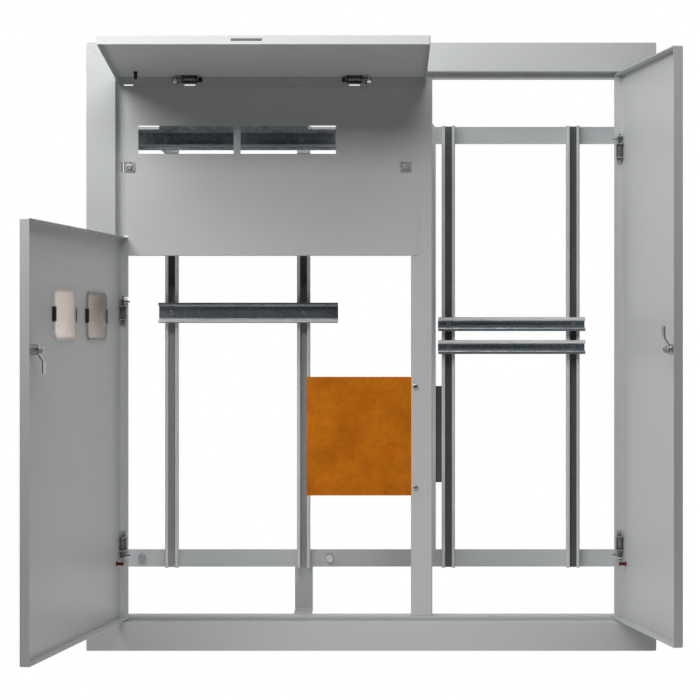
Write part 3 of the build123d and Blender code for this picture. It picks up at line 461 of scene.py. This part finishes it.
# %% [markdown]
# ## Hardboard
# The meter board is pressed wood fibre, brown and slightly glossy on its smooth side. Its colour wanders
# in soft clouds a few centimetres wide, with small darker fibre clots and fine pale flecks. Three layers
# of noise at three sizes give that; stretching the finest along one way makes it read as fibres.

# %% Hardboard
fibre_depth = 0.00006
hardboard, tree, shader = new_material("hardboard", Metallic=0.0, Specular_IOR_Level=0.12)
place = object_place(tree)
cloud = noise(tree, place, 26.0, 5.0, 0.62)
clots = remap(tree, noise(tree, place, 170.0, 4.0, 0.7), 0.52, 0.70, 0.0, 1.0)
fibre = noise(tree, stretched(tree, place, (900.0, 900.0, 420.0)), 1.0, 3.0, 0.6)
base = mix_colour(tree, remap(tree, cloud, 0.32, 0.68, 0.0, 1.0),
                  (0.470, 0.125, 0.0030, 1.0), (0.640, 0.190, 0.0050, 1.0))
base = mix_colour(tree, calculate(tree, "MULTIPLY", clots, 0.42), base, (0.330, 0.078, 0.0020, 1.0))
base = mix_colour(tree, remap(tree, fibre, 0.58, 0.72, 0.0, 0.22), base, (0.78, 0.30, 0.020, 1.0))
board_rough = remap(tree, cloud, 0.3, 0.7, 0.50, 0.60)
finish_surface(tree, shader, base, board_rough, fibre, fibre_depth, strength=0.6)
board_low, board_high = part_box("meter_board")
print("hardboard %.0f mm wide" % (1000 * (board_high.x - board_low.x)))

# %% [markdown]
# ## Studs and clips
# The earth studs are coppered for welding and have dulled to a dark red, the stud on the flap is
# blackened, and the clips that hold the panes are black plastic with a fine grain, which needs no bump:
# a change of tone and gloss is enough on a piece this small.

# %% Studs and clips
copper_stud = plated("copper_stud", (0.20, 0.045, 0.028, 1.0), 0.34, 0.45)
black_stud = plated("black_stud", (0.03, 0.03, 0.032, 1.0), 0.42, 0.20)
black_clip, tree, shader = new_material("black_clip", Metallic=0.0)
place = object_place(tree)
grain = noise(tree, place, 900.0, 2.0, 0.5)
clip_colour = mix_colour(tree, grain, (0.018, 0.016, 0.015, 1.0), (0.040, 0.034, 0.030, 1.0))
tree.links.new(clip_colour, shader.inputs["Base Color"])
tree.links.new(remap(tree, grain, 0.3, 0.7, 0.42, 0.55), shader.inputs["Roughness"])
print("finishes up to here:", len(bpy.data.materials) - plain_materials)

# %% [markdown]
# ## Pane plastic
# The two meter windows are plastic with a faint warm tint, hazy from wiping and flecked with dust. The
# pane nearer the hinge has aged browner than the other. Both are one piece of the frame and share this
# material, so a soft step of the place along the door, halfway between them, makes the difference. The
# transmission stays below one: some light scatters back, as it does from an old pane.

# %% Pane plastic
pane_plastic, tree, shader = new_material("pane_plastic", Metallic=0.0, IOR=1.49, Transmission_Weight=0.72)
place = object_place(tree)
haze = noise(tree, place, 22.0, 4.0, 0.6)
dust = remap(tree, noise(tree, place, 700.0, 2.0, 0.5), 0.66, 0.74, 0.0, 1.0)
pane_colour = mix_colour(tree, haze, (0.94, 0.82, 0.74, 1.0), (1.0, 0.95, 0.91, 1.0))
low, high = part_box("window_panes")
between_panes = (low.y + high.y) / 2
browned = remap(tree, object_axes(tree)[1], between_panes - 0.01, between_panes + 0.01, 0.0, 0.60)
pane_colour = mix_colour(tree, browned, pane_colour, (0.30, 0.25, 0.19, 1.0))
tree.links.new(pane_colour, shader.inputs["Base Color"])
pane_rough = calculate(tree, "MULTIPLY_ADD", dust, 0.25, remap(tree, haze, 0.3, 0.7, 0.16, 0.26))
tree.links.new(pane_rough, shader.inputs["Roughness"])
print("finishes in all:", len(bpy.data.materials) - plain_materials)

# %% [markdown]
# ## Dress the frame's own pieces
# Each node of the frame has one material slot. A dictionary from finish to pieces is easier to read and
# to change than sixty separate lines.

# %% Assign finishes
finishes = {
    frame_paint: ("outer_frame",),
    door_paint: ("flap_panel", "left_door_panel", "right_door_panel", "hinge_lugs"),
    cover_paint: ("breaker_cover", "centre_post"),
    rack_paint: ("crossbar_upper", "crossbar_lower", "divider_strip", "foot_strap",
                 "sub_rack_bar_upper", "sub_rack_bar_lower"),
    near_black_plate: ("link_plate",),
    upright_zinc: upright_names,
    rail_zinc: ("breaker_rail", "rail_bracket", "meter_rail", "terminal_rail_upper", "terminal_rail_lower"),
    screw_zinc: ("rack_bolts", "rack_nuts", "rail_screws", "channel_nuts", "cover_clips", "cover_screws",
                 "board_screws", "small_nuts", "left_cam_nut", "right_cam_nut"),
    hinge_zinc: ("left_hinge_brackets", "right_hinge_brackets"),
    pin_steel: ("left_pin_upper", "left_pin_lower", "right_pin_upper", "right_pin_lower",
                "flap_pin_left", "flap_pin_right"),
    dark_hinge: ("flap_hinge_brackets",),
    spring_wire: ("flap_spring_left", "flap_spring_right", "left_spring_upper", "left_spring_lower",
                  "right_spring_upper", "right_spring_lower"),
    hardboard: ("meter_board",),
    lock_nickel: ("left_lock_barrel", "right_lock_barrel", "left_lock_core", "right_lock_core"),
    lever_zinc: ("left_cam_lever", "right_cam_lever"),
    copper_stud: ("left_earth_stud", "right_earth_stud"),
    black_stud: ("flap_stud",),
    pane_plastic: ("window_panes",),
    black_clip: ("pane_clips",),
}
dressed = 0
for material, names in finishes.items():
    for name in names:
        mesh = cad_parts[name].data
        mesh.materials.clear()
        mesh.materials.append(material)
        dressed += 1
print("nodes dressed:", dressed, "of", len(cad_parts))

# %% [markdown]
# ## Surfaces from numbers
# The remaining pieces are made here, each as a grid of points over two parameters: one runs around the
# piece and the other along it. A function turns any list of such grids into one mesh. Its faces are the
# cells of the grid, and each end is closed by one face. The enclosed volume comes out negative when the
# faces point inwards, and then their order is turned around.

# %% Grids to meshes
sharp_edge_degrees = 38


def grid_faces(rows, columns, first):
    """The four-cornered cells of a grid that closes around its columns, and its two end faces."""
    index = first + np.arange(rows * columns).reshape(rows, columns)
    across = np.roll(index, -1, axis=1)
    cells = np.stack((index[:-1], across[:-1], across[1:], index[1:]), axis=-1).reshape(-1, 4)
    return cells.tolist() + [index[0, ::-1].tolist(), index[-1].tolist()]


def enclosed_volume(grid):
    """Six times the volume inside a grid, summed over its cells seen from the middle of the grid."""
    points = grid - grid.mean(axis=(0, 1))
    across = np.roll(points, -1, axis=1)
    return np.einsum("ijk,ijk->", points[:-1], np.cross(across[:-1], points[1:]))


def make_piece(name, grids, material, body, replaced=()):
    """One mesh object from several grids of points, riding on a body."""
    faces = []
    points = []
    for grid in grids:
        outward = grid if enclosed_volume(grid) > 0 else grid[:, ::-1]
        faces += grid_faces(grid.shape[0], grid.shape[1], sum(len(part) for part in points))
        points.append(outward.reshape(-1, 3))
    mesh = bpy.data.meshes.new(name)
    mesh.from_pydata(np.concatenate(points).tolist(), [], faces)
    mesh.shade_smooth()
    mesh.set_sharp_from_angle(angle=np.radians(sharp_edge_degrees))
    mesh.materials.append(material)
    piece = bpy.data.objects.new(name, mesh)
    bpy.context.collection.objects.link(piece)
    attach(piece, body)
    if replaced:
        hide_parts(*replaced)
    print(name, len(mesh.vertices), "points")


# %% [markdown]
# ## Where the doors face
# The doors stand open at odd angles. The largest triangle of a door's mesh lies on its panel, so its
# normal tells exactly which way the panel faces. With it come two directions along the panel, and then
# any piece on the door can be measured along the three.

# %% Directions on a door


def panel_axes(node, inward):
    """Two directions along a door's panel and its normal, on the side of a rough inward direction."""
    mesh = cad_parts[node].data
    areas = np.empty(len(mesh.polygons))
    mesh.polygons.foreach_get("area", areas)
    normal = np.array(mesh.polygons[int(areas.argmax())].normal)
    normal *= np.sign(normal @ inward)
    along = np.cross((0.0, 0.0, 1.0), normal) if abs(normal[2]) < 0.5 else np.array((1.0, 0.0, 0.0))
    return np.array((along, np.cross(normal, along), normal))


def node_points(node):
    """All the points of a node's mesh as rows of an array."""
    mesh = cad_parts[node].data
    points = np.empty(len(mesh.vertices) * 3)
    mesh.vertices.foreach_get("co", points)
    return points.reshape(-1, 3)


left_axes = panel_axes("left_door_panel", (1.0, 0.0, 0.0))
right_axes = panel_axes("right_door_panel", (-1.0, 0.0, 0.0))
flap_axes = panel_axes("flap_panel", (0.0, 0.0, -1.0))
print("left door's inner side faces", left_axes[2].round(3))

# %% [markdown]
# ## Earth studs
# The threaded studs are welded on by a short arc, which leaves a low collar around the foot. A thread is
# a radius that depends on both the angle and the height: one full turn shifts the zigzag by one pitch.
# Near the tip and the foot the zigzag fades out, as it does where a thread rolls off.

# %% Threaded studs
stud_radius = 0.0030
thread_pitch = 0.0010
thread_depth = 0.00055
thread_start = 0.0016
thread_run_in = 0.0010
thread_run_out = 0.0008
tip_chamfer = 0.0006
collar_radius = 0.0042
collar_height = 0.0013
stud_rings = 112
stud_facets = 40


def threaded_stud(axes, node):
    """The radius is the stud's, less the thread's depth times a zigzag of (height / pitch - angle / full
    turn) that fades at both ends, less a chamfer at the tip, plus a collar that sinks as a square root."""
    extent = node_points(node) @ axes.T
    middle = (extent.min(axis=0) + extent.max(axis=0)) / 2
    foot, tip = extent[:, 2].min(), extent[:, 2].max()
    height = np.linspace(0.0, tip - foot, stud_rings)[:, None]
    below_tip = tip - foot - height
    angle = np.linspace(0.0, 2 * np.pi, stud_facets, endpoint=False)[None, :]
    turn = (height / thread_pitch - angle / (2 * np.pi)) % 1.0
    fade_in = np.clip((height - thread_start) / thread_run_in, 0.0, 1.0)
    fade_out = np.clip(below_tip / thread_run_out, 0.0, 1.0)
    thread = thread_depth * np.abs(2.0 * turn - 1.0) * fade_in * fade_out
    chamfer = tip_chamfer * np.clip(1.0 - below_tip / tip_chamfer, 0.0, 1.0)
    collar = (collar_radius - stud_radius) * np.clip(1.0 - height / collar_height, 0.0, 1.0) ** 0.5
    wall = stud_radius - thread - chamfer + collar
    local = np.stack((
        middle[0] + wall * np.cos(angle),
        middle[1] + wall * np.sin(angle),
        foot + height + 0.0 * angle,
    ), axis=-1)
    return local @ axes


for node, body, axes, material, slot in (
    ("left_earth_stud", "left_door", left_axes, copper_stud, "copper_stud"),
    ("right_earth_stud", "right_door", right_axes, copper_stud, "copper_stud"),
    ("flap_stud", "flap", flap_axes, black_stud, "black_stud"),
):
    make_piece(node + "_thread", [threaded_stud(axes, node)], material, body, (node,))

# %% [markdown]
# ## Meter windows
# Each pane is moulded: a flat step fills the cut-out, a lip rests on the panel, and a rounded rim runs
# around a shallow pocket. Its outline is a rectangle with chamfered corners. Such a shape is given by the
# distance of its eight sides from the middle, so an inset by some amount is just eight smaller distances.
# Rounding adds short arcs between neighbouring sides. The section is a short list of pairs, each an inset
# from the outline and a height over the panel, and every pair makes one ring of the grid.

# %% Outline and section of a pane
pane_chamfer = 0.008
pane_clearance = 0.00004


def chamfered_outline(half_width, half_height, chamfer, inset, rounding=0.0022, samples=5):
    """Corners where sides 45 degrees apart meet, drawn in by a radius, plus arcs of that radius."""
    diagonal = (half_width + half_height - chamfer) / np.sqrt(2.0)
    distance = np.array((half_width, diagonal, half_height, diagonal) * 2) - inset - rounding
    start = np.arange(8) * np.pi / 4
    following = np.roll(distance, -1)
    slide = (following - distance * np.cos(np.pi / 4)) / np.sin(np.pi / 4)
    corner = np.stack((distance * np.cos(start) - slide * np.sin(start),
                       distance * np.sin(start) + slide * np.cos(start)), axis=-1)
    turn = start[:, None] + np.linspace(0.0, np.pi / 4, samples)[None, :]
    arc = rounding * np.stack((np.cos(turn), np.sin(turn)), axis=-1)
    return (corner[:, None, :] + arc).reshape(-1, 2)


step_into_panel = ((0.0034, -0.00080), (0.0034, 0.0), (0.0003, 0.0))
outer_wall = ((0.0, 0.0004), (0.0, 0.0026), (0.0002, 0.0030))
rounded_rim = ((0.0007, 0.0032), (0.0016, 0.0032), (0.0022, 0.0030))
shallow_pocket = ((0.0025, 0.0025), (0.0028, 0.0020), (0.0036, 0.0018))
pane_section = step_into_panel + outer_wall + rounded_rim + shallow_pocket
print("a pane's section has", len(pane_section), "rings")

# %% [markdown]
# ## Both panes in their places
# The two panes are one node of the frame. Its points, measured along the door's own directions, fall into
# two groups left and right of the middle, and the extent of each group gives a pane's place and size.

# %% Window panes
extent = node_points("window_panes") @ left_axes.T
panel_level = extent[:, 2].min() - pane_section[0][1] + pane_clearance
bottom, top = extent[:, 1].min(), extent[:, 1].max()
split = (extent[:, 0].min() + extent[:, 0].max()) / 2
panes = []
for chosen in (extent[extent[:, 0] < split], extent[extent[:, 0] > split]):
    left, right = chosen[:, 0].min(), chosen[:, 0].max()
    centre = np.array(((left + right) / 2, (bottom + top) / 2))
    rings = []
    for inset, height in pane_section:
        ring = centre + chamfered_outline((right - left) / 2, (top - bottom) / 2, pane_chamfer, inset)
        rings.append(np.column_stack((ring, np.full(len(ring), panel_level + height))))
    panes.append(np.array(rings) @ left_axes)
make_piece("moulded_panes", panes, pane_plastic, "left_door", ("window_panes",))

# %% [markdown]
# ## Weld beads
# The frame's corners, the feet of the rack's arms, the foot strap and the ends of the post are welded
# before painting. A bead is a thin tube along the joint, half sunk in the sheets. Its radius rises and
# falls where the welder dabbed the wire, and it closes to a blunt tip at both ends.

# %% One weld bead
dab_length = 0.0022
ring_spacing = 0.0004
fewest_rings = 24
bead_facets = 14


def weld_bead(start, end, radius):
    """The radius is a rounded end profile times a ripple of the distance along the bead."""
    start, end = np.array(start), np.array(end)
    length = np.linalg.norm(end - start)
    along = (end - start) / length
    side = np.cross(along, (0.31, 0.87, 0.38))
    side /= np.linalg.norm(side)
    up = np.cross(along, side)
    distance = np.linspace(0.0, length, max(int(length / ring_spacing), fewest_rings))[:, None]
    angle = np.linspace(0.0, 2 * np.pi, bead_facets, endpoint=False)[None, :]
    ends = np.sqrt(np.clip(np.minimum(distance, length - distance) / (1.5 * radius), 0.02, 1.0))
    ripple = 0.88 + 0.12 * np.abs(np.sin(np.pi * distance / dab_length + 0.5 * np.sin(angle)))
    wall = (radius * ends * ripple)[..., None]
    around = np.cos(angle)[..., None] * side + np.sin(angle)[..., None] * up
    return start + distance[..., None] * along + wall * around


print("beads run in dabs of %.1f mm" % (1000 * dab_length))

# %% [markdown]
# ## Where the frame is welded
# The beads' ends are worked out from the flange's own box and the widths of its folds. Two beads meet in
# each corner of the opening: one closes the mitre of the stop lip, the other the corner of the rebate.
# The arms, the strap and the post have theirs where they touch the lip or the rebate's wall.

# %% Weld beads
flange_width = 0.0480
rebate_depth = 0.0185
stop_lip = 0.0075
rebate_bead_length = 0.0140
foot_overlap = 0.0018
bead_lift = 0.0020
end_gap = 0.0020
post_front_gap = 0.0030
lip_bead, rebate_bead, foot_bead, post_bead = 0.0008, 0.0009, 0.0012, 0.0011

stop_y = flange_low.y + rebate_depth
opening_x = flange_high.x - flange_width
opening_low, opening_high = flange_low.z + flange_width, flange_high.z - flange_width
beads = []
for side in (-1, 1):
    for corner_z, turn in ((opening_low, 1), (opening_high, -1)):
        outer = (side * opening_x, stop_y, corner_z)
        inner = (side * (opening_x - stop_lip), stop_y, corner_z + turn * stop_lip)
        front = (side * opening_x, stop_y - rebate_bead_length, corner_z)
        beads.append(weld_bead(outer, inner, lip_bead))
        beads.append(weld_bead(outer, front, rebate_bead))
for node in ("crossbar_upper", "crossbar_lower"):
    low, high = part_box(node)
    for side in (-1, 1):
        foot_x = side * (opening_x - stop_lip + foot_overlap)
        foot_y = low.y + bead_lift
        lower_end = (foot_x, foot_y, low.z + end_gap)
        beads.append(weld_bead(lower_end, (foot_x, foot_y, high.z - end_gap), foot_bead))
low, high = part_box("foot_strap")
foot_y = low.y + bead_lift
foot_z = opening_low + stop_lip - foot_overlap
beads.append(weld_bead((low.x + end_gap, foot_y, foot_z), (high.x - end_gap, foot_y, foot_z), foot_bead))
low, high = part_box("centre_post")
for wall_x in (low.x, high.x):
    for end_z in (low.z, high.z):
        front_end = (wall_x, low.y + post_front_gap, end_z)
        beads.append(weld_bead(front_end, (wall_x, high.y - end_gap, end_z), post_bead))
make_piece("weld_beads", beads, frame_paint, "cabinet")

# %% [markdown]
# ## Floor
# The floor only has to catch the object's shadow in views from above. In the photograph nothing of it
# shows, so it lies low and ends before this camera would see it behind the cabinet.

# %% Floor
floor_drop = 0.40
floor_width = 7.0
floor_ahead, floor_behind = 3.2, 1.5
floor_level = cad_box[0][2] - floor_drop
floor_front, floor_back = flange_low.y - floor_ahead, flange_low.y + floor_behind
bpy.ops.mesh.primitive_plane_add(size=1.0)
floor = bpy.context.object
floor.name = "floor"
floor_middle = (0.0, (floor_front + floor_back) / 2, floor_level)
floor.data.transform(Matrix.LocRotScale(floor_middle, None, (floor_width, floor_back - floor_front, 1.0)))
floor_material, tree, shader = new_material("floor_grey", Metallic=0.0, Roughness=0.85)
place = object_place(tree)
cast = noise(tree, place, 2.0, 3.0, 0.5)
floor_colour = mix_colour(tree, cast, (0.80, 0.80, 0.80, 1.0), (0.84, 0.84, 0.84, 1.0))
tree.links.new(floor_colour, shader.inputs["Base Color"])
floor.data.materials.append(floor_material)
print("floor %.2f m below the cabinet" % (flange_low.z - floor_level))

# %% [markdown]
# ## Light
# The photograph is lit from above and in front, from near: the flap keeps the light off the top of the
# breaker cover below it, its own front edge is the brightest thing in the picture, and the free edges of
# the side doors stay dull, because they stand almost as far forward as the lamps. The room in front is
# dark, which is why the rails' flat faces look nearly black, while the white wall behind lights whatever
# faces back. The world therefore grows brighter towards the back. The camera, and rays through the
# panes, see it plain white.

# %% World
brightest_behind = 0.85
world = bpy.data.worlds.new("studio")
bpy.context.scene.world = world
world.use_nodes = True
tree = world.node_tree
tree.nodes.clear()
light_path = add_node(tree, "ShaderNodeLightPath").outputs
seen = calculate(tree, "MAXIMUM", light_path["Is Camera Ray"], light_path["Is Transmission Ray"])
direction = add_node(tree, "ShaderNodeTexCoord").outputs["Generated"]
towards_back = add_node(tree, "ShaderNodeSeparateXYZ", None, Vector=direction).outputs[1]
wall_glow = remap(tree, towards_back, 0.0, 1.0, 0.0, brightest_behind)
glow = add_node(tree, "ShaderNodeBackground", None, Color=(1.0, 1.0, 1.0, 1.0), Strength=1.0)
room = add_node(tree, "ShaderNodeBackground", None, Color=(1.0, 1.0, 1.0, 1.0), Strength=wall_glow)
both = add_node(tree, "ShaderNodeMixShader", None, Fac=seen, i1=room.outputs[0], i2=glow.outputs[0])
add_node(tree, "ShaderNodeOutputWorld", None, Surface=both.outputs[0])
print("world:", len(tree.nodes), "nodes")

# %% [markdown]
# ## Lamps
# Four soft boxes stand close by: one over the flap, one that grazes its front edge, and the strongest at
# the upper left, which makes the left side of the flange the lightest. The fourth is weak and lies low in
# front, where it lifts the underside of the flap and the cover from the dark. Each is an area lamp with a
# place, a target, a width, a height and a power in watts.

# %% Lamps


def soft_box(name, place, target, width, height, watts):
    """A rectangular area lamp that faces a target."""
    lamp = bpy.data.lights.new(name, "AREA")
    lamp.shape = "RECTANGLE"
    lamp.size = width
    lamp.size_y = height
    lamp.energy = watts
    holder = bpy.data.objects.new(name, lamp)
    holder.location = place
    holder.rotation_mode = "QUATERNION"
    holder.rotation_quaternion = (Vector(target) - Vector(place)).to_track_quat("-Z", "Y")
    bpy.context.collection.objects.link(holder)


soft_box("over_flap", (-0.15, -0.75, 1.75), (0.0, -0.05, 0.60), 1.6, 0.5, 7.0)
soft_box("flap_edge", (-0.20, -1.40, 1.50), (-0.2, -0.25, 0.95), 1.0, 0.3, 7.5)
soft_box("upper_left", (-0.90, -0.85, 1.50), (0.0, 0.0, 0.35), 0.6, 0.6, 9.8)
soft_box("low_fill", (0.0, -0.60, -0.12), (0.0, 0.15, 0.10), 0.7, 0.2, 0.85)

# %% [markdown]
# ## Colours as written
# The Standard view keeps a colour as it is written in the materials. The size of the bare frame is printed
# at the end.

# %% View settings and sizes
bpy.context.scene.view_settings.view_transform = "Standard"
print("cad box", cad_box)
